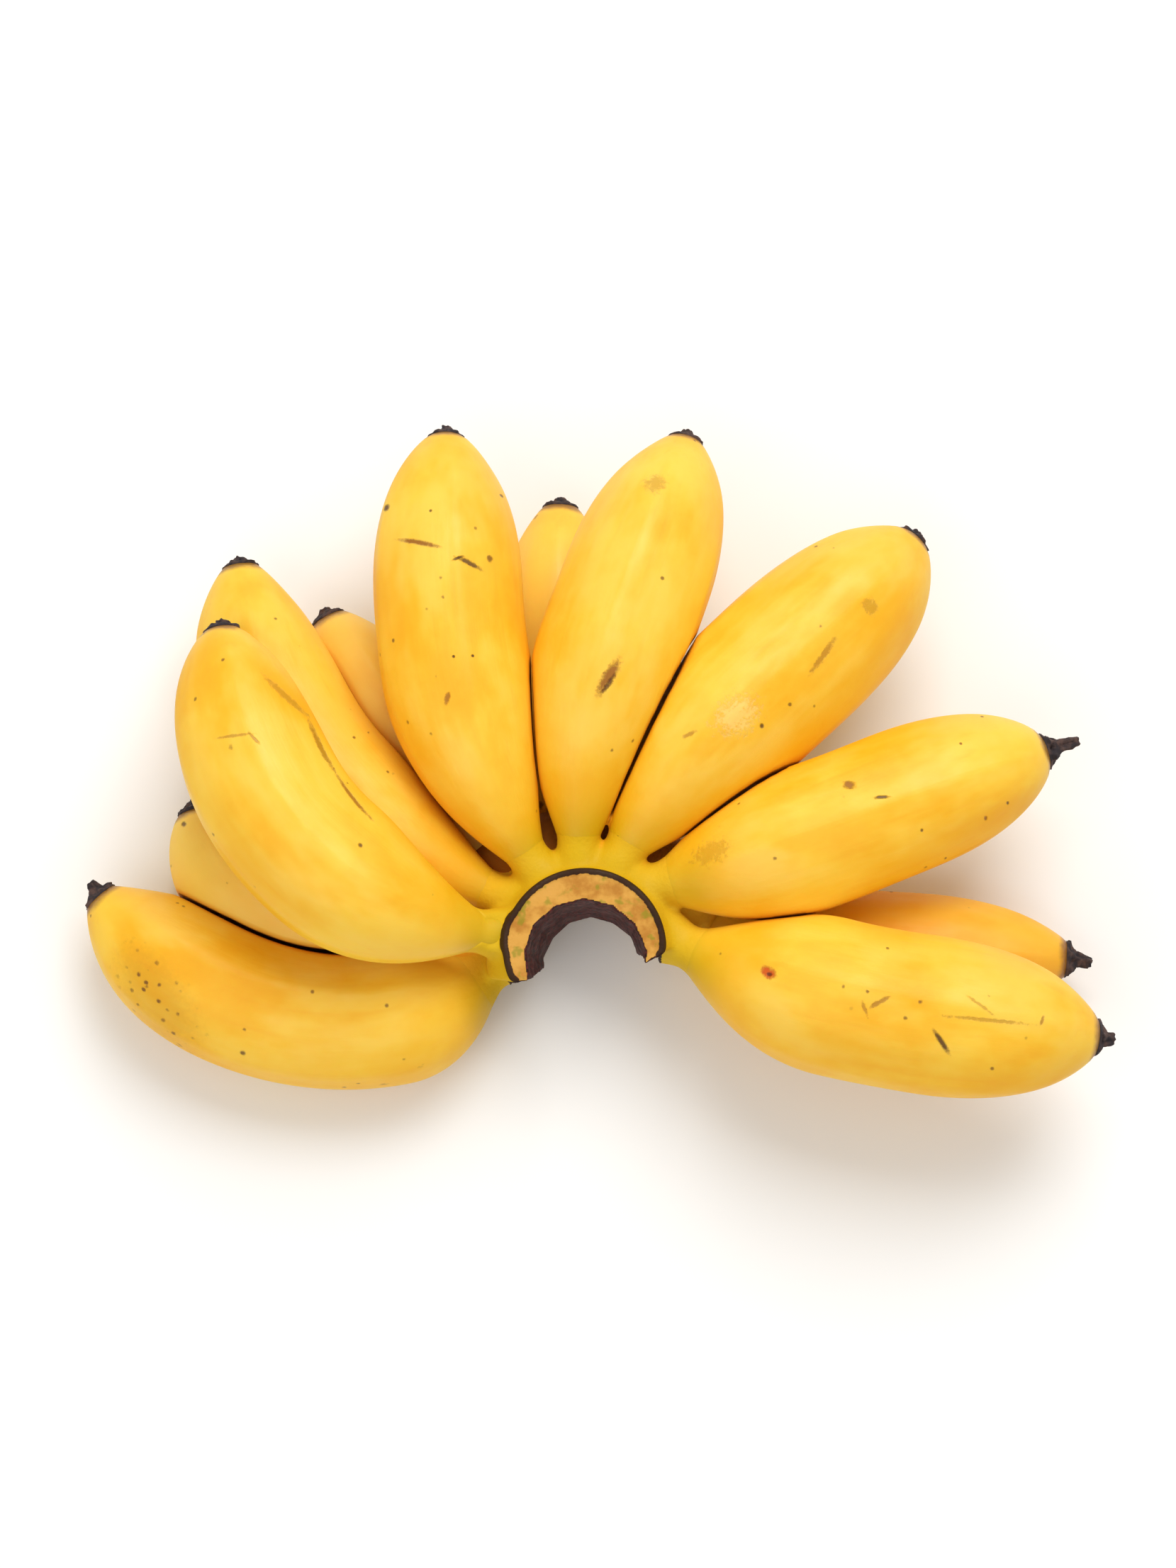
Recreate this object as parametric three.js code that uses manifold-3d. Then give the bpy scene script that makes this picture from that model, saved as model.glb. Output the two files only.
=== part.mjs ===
// A hand of baby bananas, cut from its bunch and laid down on a table.
//
// Twelve curved fruits fan out from a half-ring of stalk tissue, the crown, whose cut face looks up.
// Eight fruits make the front row on top, and four peep out from the back row, which lies on the table.
// Each fruit ends in the dried remains of its flower. Ripe fruits press on each other and on the table,
// so each one gives way where a firmer neighbour or the table pushes into it.
//
// Millimetres, +Z up, +Y away from the open side of the crown. The fruits are laid out around the
// crown's own axis, and the finished hand is moved so that its origin is below the middle of its box.

import * as THREE from 'three';
import { mergeVertices } from 'three/addons/utils/BufferGeometryUtils.js';
import Module from 'manifold-3d';

const wasm = await Module();
wasm.setup();

// ---- Driving dimensions ---------------------------------------------------------------------------

const FINGER_REACH = 101.5;   // from the crown's side to the tip of a fruit whose share is 1
const FINGER_WIDTH = 34.8;    // thickness of a fruit whose girth is 1
const NECK_WIDTH = 9.5;       // thickness of a fruit where it leaves the crown
const TIP_WIDTH = 9;          // thickness of a fruit where the dried flower starts
const RIDGE_HEIGHT = 0.35;    // how far the five soft ridges stand proud of the mean skin

const CROWN_WIDTH = 47;       // across the shoulder that the necks grow from
const CROWN_RIM_WIDTH = 38;   // across the cut face on top
const CROWN_TOP = 42;         // height of the cut face above the table
const CROWN_BOTTOM = 8;       // height of the crown's underside above the table
const NOTCH_RADIUS = 14.7;    // the round notch where the stalk was, measured at the cut face
const NOTCH_CENTRE = [0, -2.8];
const FOOT_RADIUS = 11.7;     // the same notch at the underside
const FOOT_CENTRE = [1.6, 1.7];
const NOTCH_FACETS = 13;      // flat knife and tear facets round the notch
const FRONT_TOP = -7;         // the crown's split front, its place along Y at the cut face
const FRONT_FOOT = 3;         // the same front at the underside
const SHOULDER_BELOW = [[5, 0], [1, 5], [0, 11]];  // insets from the full width, heights above the underside
const SHOULDER_ABOVE = [[0, 12], [1.2, 5]];        // insets, and depths below the cut face
const CROWN_SIDES = 32;

const DRIED_WIDTH = 8.4;      // width of the dried flower at its foot
// Shares of half that width and of the length, from the foot up.
const DRIED_OUTLINE = [[1, 0], [0.86, 0.25], [0.45, 0.6], [0.22, 1]];
const DRIED_SIDES = 10;
const CLEARANCE = 0.3;        // gap between touching pieces
const ROOT_DEPTH = 2.5;       // how deep a fruit's centreline starts inside the crown's shoulder

const SIDES = 15;             // three sides to each ridge
const RIDGES = 5;
const RINGS = 17;
const RING_CROWDING = 0.05;   // how much closer the rings lie near both ends

// ---- The fruits -----------------------------------------------------------------------------------
//
// Bearings are degrees anticlockwise from +X seen from above, climbs are degrees above the level.
//   root    bearing and height of the place where the neck leaves the crown
//   leave   bearing and climb of the neck there, and its pull as a share of the fruit's length
//   tip     bearing, share of FINGER_REACH and height of the fruit's end
//   arrive  bearing and climb of the fruit's end, and its pull
//   girth   share of FINGER_WIDTH
//   plump   share of the length at which the fruit reaches its full girth
//   blunt   how late and how fast the end closes: small is blunt, near 1 is pointed
//   dried   length of the dried flower
//
// Earlier fruits in the list are the firmer ones: they keep their shape where two press together.

const FRUITS = [
  { name: 'front_banana_2', root: [168, 36], leave: [178, 26, 0.50], tip: [139, 0.92, 48],
    arrive: [99, -8, 0.42], girth: 1.02, plump: 0.42, blunt: 0.85, dried: 3.0 },
  { name: 'front_banana_4', root: [118, 33], leave: [128, 16, 0.38], tip: [105, 1.08, 38],
    arrive: [90, -8, 0.40], girth: 1.05, plump: 0.47, blunt: 0.84, dried: 3.0 },
  { name: 'front_banana_5', root: [94, 33], leave: [92, 18, 0.38], tip: [79, 1.05, 38],
    arrive: [75, -10, 0.40], girth: 1.05, plump: 0.48, blunt: 0.92, dried: 3.0 },
  { name: 'front_banana_6', root: [72, 33], leave: [61, 12, 0.38], tip: [52, 1.07, 32],
    arrive: [50, -8, 0.36], girth: 1.13, plump: 0.44, blunt: 0.80, dried: 2.5 },
  { name: 'front_banana_7', root: [50, 32], leave: [12, 12, 0.40], tip: [24, 0.98, 34],
    arrive: [19, -6, 0.36], girth: 1.02, plump: 0.38, blunt: 0.76, dried: 9.0 },
  { name: 'front_banana_8', root: [12, 31], leave: [-29, 12, 0.36], tip: [-9.5, 1.00, 34],
    arrive: [-5, -8, 0.40], girth: 1.09, plump: 0.40, blunt: 0.84, dried: 4.5 },
  { name: 'front_banana_1', root: [176, 16], leave: [222, 0, 0.38], tip: [172, 0.96, 16.5],
    arrive: [132, 2, 0.42], girth: 1.03, plump: 0.26, blunt: 0.95, dried: 4.5 },
  { name: 'front_banana_3', root: [142, 30], leave: [158, -2, 0.45], tip: [131, 1.06, 25],
    arrive: [98, -2, 0.38], girth: 1.00, plump: 0.46, blunt: 0.90, dried: 2.5 },
  { name: 'back_banana_1', root: [160, 18], leave: [176, -8, 0.45], tip: [158, 0.80, 13],
    arrive: [106, 0, 0.40], girth: 0.88, plump: 0.46, blunt: 0.90, dried: 3.0 },
  { name: 'back_banana_2', root: [134, 16], leave: [128, -4, 0.36], tip: [126, 0.85, 13],
    arrive: [118, 0, 0.36], girth: 0.84, plump: 0.46, blunt: 0.90, dried: 3.0 },
  { name: 'back_banana_3', root: [97, 16], leave: [95, -4, 0.36], tip: [93, 0.93, 13],
    arrive: [88, 0, 0.36], girth: 0.84, plump: 0.46, blunt: 0.90, dried: 2.5 },
  { name: 'back_banana_4', root: [29, 16], leave: [-8, -4, 0.36], tip: [1, 0.94, 13],
    arrive: [-4, 0, 0.36], girth: 0.80, plump: 0.42, blunt: 0.90, dried: 6.5 },
];

// The neck stays thin over this share of the way to full girth, then swells fast at first. The taper
// towards the tip starts at this share of the fruit's length and follows this power.
const NECK_SHARE = 0.12;
const SWELL_POWER = 0.65;
const TAPER_START = 0.6;
const TAPER_POWER = 2.7;

// ---- Materials ------------------------------------------------------------------------------------

const finish = (color, roughness) => new THREE.MeshStandardMaterial({ color, roughness, metalness: 0 });
const frontPeel = finish(0xf7c331, 0.42);
const backPeel = finish(0xf0b42a, 0.45);
const crownTissue = finish(0xc9b42c, 0.6);
const driedFlower = finish(0x33262a, 0.85);

// ---- Solids: closed three.js meshes to and from manifold-3d ---------------------------------------

function toSolid(geometry) {
  const bare = geometry.clone();
  bare.deleteAttribute('normal');
  bare.deleteAttribute('uv');
  const merged = mergeVertices(bare, 1e-4);
  const vertProperties = new Float32Array(merged.getAttribute('position').array);
  const triVerts = new Uint32Array(merged.getIndex().array);
  return new wasm.Manifold(new wasm.Mesh({ numProp: 3, vertProperties, triVerts }));
}

function toGeometry(solid) {
  const mesh = solid.getMesh();
  const geometry = new THREE.BufferGeometry();
  geometry.setAttribute('position', new THREE.BufferAttribute(mesh.vertProperties, 3));
  geometry.setIndex(new THREE.BufferAttribute(mesh.triVerts, 1));
  geometry.computeVertexNormals();
  return geometry;
}

// ---- Directions -----------------------------------------------------------------------------------

const radians = THREE.MathUtils.degToRad;

function direction(bearing, climb) {
  const level = Math.cos(radians(climb));
  const x = level * Math.cos(radians(bearing));
  const y = level * Math.sin(radians(bearing));
  return new THREE.Vector3(x, y, Math.sin(radians(climb)));
}

function place(bearing, distance, height) {
  return direction(bearing, 0).multiplyScalar(distance).setZ(height);
}

// ---- A fruit --------------------------------------------------------------------------------------

function centreline(fruit) {
  const start = place(fruit.root[0], CROWN_WIDTH / 2 - ROOT_DEPTH, fruit.root[1]);
  const end = place(fruit.tip[0], CROWN_WIDTH / 2 + fruit.tip[1] * FINGER_REACH, fruit.tip[2]);
  const span = start.distanceTo(end);
  const leave = direction(fruit.leave[0], fruit.leave[1]).multiplyScalar(span * fruit.leave[2]);
  const arrive = direction(fruit.arrive[0], fruit.arrive[1]).multiplyScalar(span * fruit.arrive[2]);
  return new THREE.CubicBezierCurve3(start, start.clone().add(leave), end.clone().sub(arrive), end);
}

// The skin's radius at a share of the length: neck, swelling body, then the closing end.
function radiusAt(fruit, share) {
  const full = (FINGER_WIDTH / 2) * fruit.girth;
  const neck = NECK_WIDTH / 2 / full;
  const tip = TIP_WIDTH / 2 / full;
  const grown = Math.max(0, (share / fruit.plump - NECK_SHARE) / (1 - NECK_SHARE));
  const swelling = neck + (1 - neck) * THREE.MathUtils.smoothstep(grown ** SWELL_POWER, 0, 1);
  const late = Math.max(0, (share - TAPER_START) / (1 - TAPER_START));
  const closing = tip + (1 - tip) * (1 - late ** TAPER_POWER) ** fruit.blunt;
  return full * swelling * closing;
}

// A turned body, bent along the fruit's centreline. The profile runs from the axis at the root to
// the axis at the tip. Skin that would reach below the table is pressed flat on it.
function fruitGeometry(fruit, grow) {
  const profile = [new THREE.Vector2(0, 0)];
  for (let ring = 0; ring < RINGS; ring++) {
    const even = ring / (RINGS - 1);
    const share = even + RING_CROWDING * Math.sin(2 * Math.PI * even);
    profile.push(new THREE.Vector2(radiusAt(fruit, share) + grow, share));
  }
  profile.push(new THREE.Vector2(0, 1));

  const geometry = new THREE.LatheGeometry(profile, SIDES);
  const path = centreline(fruit);
  const position = geometry.getAttribute('position');
  const up = new THREE.Vector3(0, 0, 1);
  for (let i = 0; i < position.count; i++) {
    const share = position.getY(i);
    const around = Math.atan2(position.getX(i), position.getZ(i));
    const radius = Math.hypot(position.getX(i), position.getZ(i));
    const ridge = radius > NECK_WIDTH ? RIDGE_HEIGHT * Math.cos(RIDGES * around) : 0;
    const tangent = path.getTangentAt(share);
    const side = new THREE.Vector3().crossVectors(tangent, up).normalize();
    const rise = new THREE.Vector3().crossVectors(side, tangent);
    const point = path.getPointAt(share);
    point.addScaledVector(side, (radius + ridge) * Math.sin(around));
    point.addScaledVector(rise, (radius + ridge) * Math.cos(around));
    position.setXYZ(i, point.x, point.y, Math.max(point.z, -grow));
  }
  return geometry;
}

// ---- The crown ------------------------------------------------------------------------------------

// Its outline turns round the stalk's axis: underside, swollen shoulder, narrower rim.
function crownSolid(grow) {
  const shoulder = CROWN_WIDTH / 2 + grow;
  const rim = CROWN_RIM_WIDTH / 2 + grow;
  const low = CROWN_BOTTOM - grow;
  const high = CROWN_TOP + grow;
  const outline = [
    new THREE.Vector2(0, low),
    ...SHOULDER_BELOW.map(([inset, above]) => new THREE.Vector2(shoulder - inset, low + above)),
    ...SHOULDER_ABOVE.map(([inset, below]) => new THREE.Vector2(shoulder - inset, high - below)),
    new THREE.Vector2(rim, high),
    new THREE.Vector2(0, high),
  ];
  const body = toSolid(new THREE.LatheGeometry(outline, CROWN_SIDES).rotateX(Math.PI / 2));
  return body.subtract(notchSolid(grow)).subtract(openingSolid(grow));
}

// The faceted notch that the cut and the dried tear left round the old stalk: a leaning cone.
function notchSolid(grow) {
  const past = 2;
  const height = CROWN_TOP - CROWN_BOTTOM;
  const alongHeight = (top, foot, z) => foot + ((top - foot) * (z - CROWN_BOTTOM)) / height;
  const cutter = new THREE.CylinderGeometry(1, 1, height + 2 * past, NOTCH_FACETS);
  cutter.rotateX(Math.PI / 2).rotateZ(Math.PI / NOTCH_FACETS);
  cutter.translate(0, 0, (CROWN_TOP + CROWN_BOTTOM) / 2);
  const position = cutter.getAttribute('position');
  for (let i = 0; i < position.count; i++) {
    const z = position.getZ(i);
    const radius = alongHeight(NOTCH_RADIUS, FOOT_RADIUS, z) - grow;
    const x = alongHeight(NOTCH_CENTRE[0], FOOT_CENTRE[0], z) + radius * position.getX(i);
    const y = alongHeight(NOTCH_CENTRE[1], FOOT_CENTRE[1], z) + radius * position.getY(i);
    position.setXYZ(i, x, y, z);
  }
  return toSolid(cutter);
}

// All that lies in front of the leaning plane where the crown was split away from its stalk.
function openingSolid(grow) {
  const lean = (FRONT_TOP - FRONT_FOOT) / (CROWN_TOP - CROWN_BOTTOM);
  const above = CROWN_WIDTH;
  const yAt = (z) => FRONT_FOOT + lean * (z - CROWN_BOTTOM) - grow;
  const low = CROWN_BOTTOM - above;
  const high = CROWN_TOP + above;
  const side = new THREE.Shape([
    new THREE.Vector2(yAt(low), low),
    new THREE.Vector2(yAt(high), high),
    new THREE.Vector2(-3 * CROWN_WIDTH, high),
    new THREE.Vector2(-3 * CROWN_WIDTH, low),
  ]);
  const slab = new THREE.ExtrudeGeometry(side, { depth: 2 * CROWN_WIDTH, bevelEnabled: false });
  slab.rotateX(Math.PI / 2).rotateZ(Math.PI / 2).translate(-CROWN_WIDTH, 0, 0);
  return toSolid(slab);
}

// ---- The dried flower on a fruit's end ------------------------------------------------------------

function driedFlowerMesh(fruit) {
  const profile = [
    new THREE.Vector2(0, 0),
    ...DRIED_OUTLINE.map(([out, up]) => new THREE.Vector2((out * DRIED_WIDTH) / 2, up * fruit.dried)),
    new THREE.Vector2(0, fruit.dried),
  ];
  const mesh = new THREE.Mesh(new THREE.LatheGeometry(profile, DRIED_SIDES), driedFlower);
  const path = centreline(fruit);
  const tangent = path.getTangentAt(1);
  mesh.name = fruit.name.replace('banana', 'dried_flower');
  mesh.quaternion.setFromUnitVectors(new THREE.Vector3(0, 1, 0), tangent);
  mesh.position.copy(path.getPointAt(1)).addScaledVector(tangent, CLEARANCE);
  return mesh;
}

// ---- Assembly -------------------------------------------------------------------------------------

const fan = new THREE.Group();

const crown = new THREE.Mesh(toGeometry(crownSolid(0)), crownTissue);
crown.name = 'crown';
fan.add(crown);

// Each fruit gives way to the crown and to every firmer fruit before it.
let firmer = crownSolid(CLEARANCE);
for (const fruit of FRUITS) {
  const body = toSolid(fruitGeometry(fruit, 0)).subtract(firmer);
  const peel = fruit.name.startsWith('front') ? frontPeel : backPeel;
  const mesh = new THREE.Mesh(toGeometry(body), peel);
  mesh.name = fruit.name;
  fan.add(mesh);
  fan.add(driedFlowerMesh(fruit));
  firmer = firmer.add(toSolid(fruitGeometry(fruit, CLEARANCE)));
}

// The origin is on the table, below the middle of the hand.
const box = new THREE.Box3().setFromObject(fan);
const middle = box.getCenter(new THREE.Vector3());
fan.position.set(-middle.x, -middle.y, -box.min.z);

const hand = new THREE.Group();
hand.add(fan);
export default hand;
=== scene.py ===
# %% [markdown]
# # A hand of ripe baby bananas
#
# Twelve short, plump fruits fan out from a half-ring of stalk tissue, the crown. Eight lie on top and
# four peep out from below. The design already fixes where every fruit starts, how it bends and where
# it ends. This notebook makes the same pieces with a fine surface: peel with soft ridges and pressed
# contact faces, a torn and dried crown, shrivelled flower ends, and skin colours that change from neck
# to tip. We start by loading the fixed frame and reading the crown's box from it.

# %% The fixed frame
import math

import bmesh
import bpy
from mathutils import Euler, Matrix, Vector, geometry, kdtree, noise


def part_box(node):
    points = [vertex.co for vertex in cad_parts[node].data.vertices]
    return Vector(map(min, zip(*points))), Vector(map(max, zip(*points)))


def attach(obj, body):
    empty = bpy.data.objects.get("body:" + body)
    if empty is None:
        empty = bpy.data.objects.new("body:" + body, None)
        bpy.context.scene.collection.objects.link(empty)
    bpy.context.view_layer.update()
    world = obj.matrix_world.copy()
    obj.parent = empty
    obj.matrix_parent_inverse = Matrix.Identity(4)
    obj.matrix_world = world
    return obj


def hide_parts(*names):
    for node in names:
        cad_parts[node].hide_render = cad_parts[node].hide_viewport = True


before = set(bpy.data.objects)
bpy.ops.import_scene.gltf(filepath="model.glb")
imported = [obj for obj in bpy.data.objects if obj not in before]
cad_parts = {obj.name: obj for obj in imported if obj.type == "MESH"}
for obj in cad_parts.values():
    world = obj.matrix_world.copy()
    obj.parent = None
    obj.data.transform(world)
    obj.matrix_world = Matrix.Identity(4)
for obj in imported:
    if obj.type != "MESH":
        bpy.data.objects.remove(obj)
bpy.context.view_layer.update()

MM = 0.001
print("nodes in the frame:", len(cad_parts))

# %% [markdown]
# ## Where everything hangs from
#
# Every size below is measured from the axis of the stalk that once stood in the crown's notch. The
# crown's own box tells us where that axis is: halfway across it, and half a shoulder width in from its
# far side. The fruits repeat the design's table: bearings and climbs in degrees, heights in
# millimetres, lengths and girths as shares of one reach and one width.

# %% Driving sizes and the table of fruits
REACH = 101.5 * MM
WIDTH = 34.8 * MM
NECK_WIDTH = 9.5 * MM
TIP_WIDTH = 9 * MM
CROWN_WIDTH = 47 * MM
RIM_WIDTH = 38 * MM
CROWN_TOP = 42 * MM
CROWN_BOTTOM = 8 * MM
ROOT_DEPTH = 2.5 * MM
NECK_SHARE = 0.12
SWELL_POWER = 0.65
TAPER_START = 0.6
TAPER_POWER = 2.7
RIDGE_DEPTH = 0.05
LUMP_DEPTH = 0.028

crown_low, crown_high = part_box("crown")
HUB = Vector(((crown_low[0] + crown_high[0]) / 2, crown_high[1] - CROWN_WIDTH / 2, 0.0))

# name: root bearing and height, leave bearing, climb and pull, tip bearing, share and height,
# arrive bearing, climb and pull, girth, plump, blunt, length of the dried flower
FRUITS = {
    "front_banana_2": ((168, 36), (178, 26, 0.50), (139, 0.92, 48), (99, -8, 0.42), 1.02, 0.42, 0.85, 3.0),
    "front_banana_4": ((118, 33), (128, 16, 0.38), (105, 1.08, 38), (90, -8, 0.40), 1.05, 0.47, 0.84, 3.0),
    "front_banana_5": ((94, 33), (92, 18, 0.38), (79, 1.05, 38), (75, -10, 0.40), 1.05, 0.48, 0.92, 3.0),
    "front_banana_6": ((72, 33), (61, 12, 0.38), (52, 1.07, 32), (50, -8, 0.36), 1.13, 0.44, 0.80, 2.5),
    "front_banana_7": ((50, 32), (12, 12, 0.40), (24, 0.98, 34), (19, -6, 0.36), 1.02, 0.38, 0.76, 9.0),
    "front_banana_8": ((12, 31), (-29, 12, 0.36), (-9.5, 1.0, 34), (-5, -8, 0.40), 1.09, 0.40, 0.84, 4.5),
    "front_banana_1": ((176, 16), (222, 0, 0.38), (172, 0.96, 16.5), (132, 2, 0.42), 1.03, 0.26, 0.95, 4.5),
    "front_banana_3": ((142, 30), (158, -2, 0.45), (131, 1.06, 25), (98, -2, 0.38), 1.0, 0.46, 0.90, 2.5),
    "back_banana_1": ((160, 18), (176, -8, 0.45), (158, 0.80, 13), (106, 0, 0.40), 0.88, 0.46, 0.90, 3.0),
    "back_banana_2": ((134, 16), (128, -4, 0.36), (126, 0.85, 13), (118, 0, 0.36), 0.84, 0.46, 0.90, 3.0),
    "back_banana_3": ((97, 16), (95, -4, 0.36), (93, 0.93, 13), (88, 0, 0.36), 0.84, 0.46, 0.90, 2.5),
    "back_banana_4": ((29, 16), (-8, -4, 0.36), (1, 0.94, 13), (-4, 0, 0.36), 0.80, 0.42, 0.90, 6.5),
}
print("axis of the old stalk:", tuple(round(v, 4) for v in HUB))

# %% [markdown]
# ## Camera, light and floor
#
# The hand lies flat, so the camera looks down on it from high in front, with a long lens that keeps
# the near and far fruits in proportion. One wide soft light stands behind and above, as a window or a
# studio softbox would, a weaker one fills from the front, and a pale world keeps the shadows open.
# The colours go straight to the screen (the Standard view), because a film-like curve would turn the
# strong yellows pale.

# %% The camera
CAMERA_CLIMB = 78.0
CAMERA_DISTANCE = 1.0
aim = HUB + Vector((0.8, 40.3, 42)) * MM
tilt = math.radians(90 - CAMERA_CLIMB)
camera_data = bpy.data.cameras.new("camera")
camera_data.lens = 94.6
camera_data.sensor_width = 36
camera = bpy.data.objects.new("camera", camera_data)
camera.location = aim + CAMERA_DISTANCE * Vector((0, -math.sin(tilt), math.cos(tilt)))
camera.rotation_euler = Euler((tilt, 0, 0))
bpy.context.collection.objects.link(camera)
bpy.context.scene.camera = camera
print("camera stands at", tuple(round(v, 3) for v in camera.location))


# %% Lights, world and floor
def softbox(name, place, width, watts):
    """A square area light at a place above the hand, turned to face it."""
    data = bpy.data.lights.new(name, "AREA")
    data.size = width
    data.energy = watts
    light = bpy.data.objects.new(name, data)
    light.location = HUB + Vector(place)
    light.rotation_euler = (-Vector(place)).to_track_quat("-Z", "Y").to_euler()
    bpy.context.collection.objects.link(light)


softbox("key", (0.25, 0.75, 1.15), 0.9, 13)
softbox("fill", (-0.5, -0.7, 1.0), 1.2, 5)

world = bpy.data.worlds.new("pale room")
world.use_nodes = True
world.node_tree.nodes["Background"].inputs["Color"].default_value = (1.0, 0.985, 0.96, 1)
world.node_tree.nodes["Background"].inputs["Strength"].default_value = 0.54
bpy.context.scene.world = world
bpy.context.scene.view_settings.view_transform = "Standard"

floor_mesh = bmesh.new()
bmesh.ops.create_grid(floor_mesh, x_segments=1, y_segments=1, size=3.0)
floor_data = bpy.data.meshes.new("floor")
floor_mesh.to_mesh(floor_data)
floor_mesh.free()
floor = bpy.data.objects.new("floor", floor_data)
bpy.context.collection.objects.link(floor)
paper = bpy.data.materials.new("pale floor")
paper.use_nodes = True
paper.node_tree.nodes["Principled BSDF"].inputs["Base Color"].default_value = (0.93, 0.93, 0.92, 1)
paper.node_tree.nodes["Principled BSDF"].inputs["Roughness"].default_value = 0.9
floor_data.materials.append(paper)

# %% [markdown]
# ## One fruit's centreline and girth
#
# A banana is a round body bent along a curve. Its centreline is one Bezier curve from the crown to the
# tip. Its girth follows a short formula: a thin neck, a smooth swelling, a long full belly and a blunt
# closing end. Five soft ridges run along it, as on every banana, because the fruit grew from a flower
# with parts in fives and threes. We keep samples of the curve with a sideways and an upward direction
# at each, so that any point of a straight turned body can be placed on the bent one.

# %% Directions and smooth steps
def direction(bearing, climb):
    """A unit vector from degrees anticlockwise from +X and degrees above the level."""
    level = math.cos(math.radians(climb))
    angle = math.radians(bearing)
    return Vector((level * math.cos(angle), level * math.sin(angle), math.sin(math.radians(climb))))


def smoothstep(value, low, high):
    """A soft step from 0 at low to 1 at high."""
    t = min(1.0, max(0.0, (value - low) / (high - low)))
    return t * t * (3 - 2 * t)


# %% The fruit as a bent body
SAMPLES = 400
UP = Vector((0, 0, 1))


class Fruit:
    """Centreline, frames and skin radius of one fruit, all in metres."""

    def __init__(self, name, order, root, leave, tip, arrive, girth, plump, blunt, dried):
        self.name = name
        self.order = order
        self.front = name.startswith("front")
        self.full = WIDTH / 2 * girth
        self.plump = plump
        self.blunt = blunt
        self.dried = dried * MM
        start = HUB + direction(root[0], 0) * (CROWN_WIDTH / 2 - ROOT_DEPTH) + UP * root[1] * MM
        end = HUB + direction(tip[0], 0) * (CROWN_WIDTH / 2 + tip[1] * REACH) + UP * tip[2] * MM
        span = (end - start).length
        leaving = start + direction(leave[0], leave[1]) * span * leave[2]
        arriving = end - direction(arrive[0], arrive[1]) * span * arrive[2]
        fine = geometry.interpolate_bezier(start, leaving, arriving, end, 2000)
        self.sample(fine)

    def sample(self, fine):
        """Even samples along the curve, each with its tangent, side and rise directions."""
        walked = [0.0]
        for a, b in zip(fine, fine[1:]):
            walked.append(walked[-1] + (b - a).length)
        self.length = walked[-1]
        self.points = []
        at = 0
        for i in range(SAMPLES):
            wanted = self.length * i / (SAMPLES - 1)
            while at < len(fine) - 2 and walked[at + 1] < wanted:
                at += 1
            part = (wanted - walked[at]) / (walked[at + 1] - walked[at])
            self.points.append(fine[at].lerp(fine[at + 1], min(1.0, part)))
        self.tangents = []
        self.sides = []
        self.rises = []
        for i in range(SAMPLES):
            ahead = self.points[min(i + 1, SAMPLES - 1)]
            behind = self.points[max(i - 1, 0)]
            tangent = (ahead - behind).normalized()
            side = tangent.cross(UP).normalized()
            self.tangents.append(tangent)
            self.sides.append(side)
            self.rises.append(side.cross(tangent))
        self.tree = kdtree.KDTree(SAMPLES)
        for i, point in enumerate(self.points):
            self.tree.insert(point, i)
        self.tree.balance()

    def frame_at(self, share):
        """Point, tangent, side and rise at a share of the length, also a little past both ends."""
        place = share * (SAMPLES - 1)
        i = min(SAMPLES - 2, max(0, int(place)))
        part = place - i
        return (
            self.points[i].lerp(self.points[i + 1], part),
            self.tangents[i].lerp(self.tangents[i + 1], part),
            self.sides[i].lerp(self.sides[i + 1], part),
            self.rises[i].lerp(self.rises[i + 1], part),
        )

    def mean_radius(self, share):
        neck = NECK_WIDTH / 2 / self.full
        tip = TIP_WIDTH / 2 / self.full
        grown = min(1.0, max(0.0, (share / self.plump - NECK_SHARE) / (1 - NECK_SHARE)))
        swelling = neck + (1 - neck) * smoothstep(grown ** SWELL_POWER, 0, 1)
        late = max(0.0, (share - TAPER_START) / (1 - TAPER_START))
        closing = tip + (1 - tip) * (1 - min(1.0, late) ** TAPER_POWER) ** self.blunt
        return self.full * swelling * closing

    def skin_radius(self, share, angle):
        """The mean radius with its ridges and a few gentle lumps."""
        mean = self.mean_radius(share)
        body = smoothstep(share, 0.08, 0.35) * (1 - smoothstep(share, 0.86, 1.0))
        twist = 0.35 * math.sin(2.3 * self.order) + 0.3 * share
        ridge = (1 - abs(math.sin(2.5 * angle - 0.785 + twist))) ** 1.6 - 0.25
        seat = Vector((1.3 * math.cos(angle), 1.3 * math.sin(angle), 4.0 * share + 7.7 * self.order))
        lump = noise.noise(seat)
        return mean * (1 + body * (RIDGE_DEPTH * ridge + LUMP_DEPTH * lump))

    def skin_gap(self, point):
        """Distance from a point to this fruit's skin, negative inside, and the way out."""
        centre, i, distance = self.tree.find(point)
        out = point - centre
        angle = math.atan2(out.dot(self.rises[i]), out.dot(self.sides[i]))
        return distance - self.skin_radius(i / (SAMPLES - 1), angle), out.normalized()


fruits = [Fruit(name, order, *row) for order, (name, row) in enumerate(FRUITS.items())]
print("lengths in mm:", {f.name: round(f.length / MM) for f in fruits})

# %% [markdown]
# ## Turning and bending the fruits
#
# We turn each fruit as a potter would: a chain of points, spun once round the axis. While the body is
# still straight we write each point's straight place into an attribute, because specks and streaks
# that follow the fruit are easy to draw there. Then the body is bent along its centreline.

# %% A straight turned body
AROUND = 96
ALONG = 128
RING_CROWDING = 0.06


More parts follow.
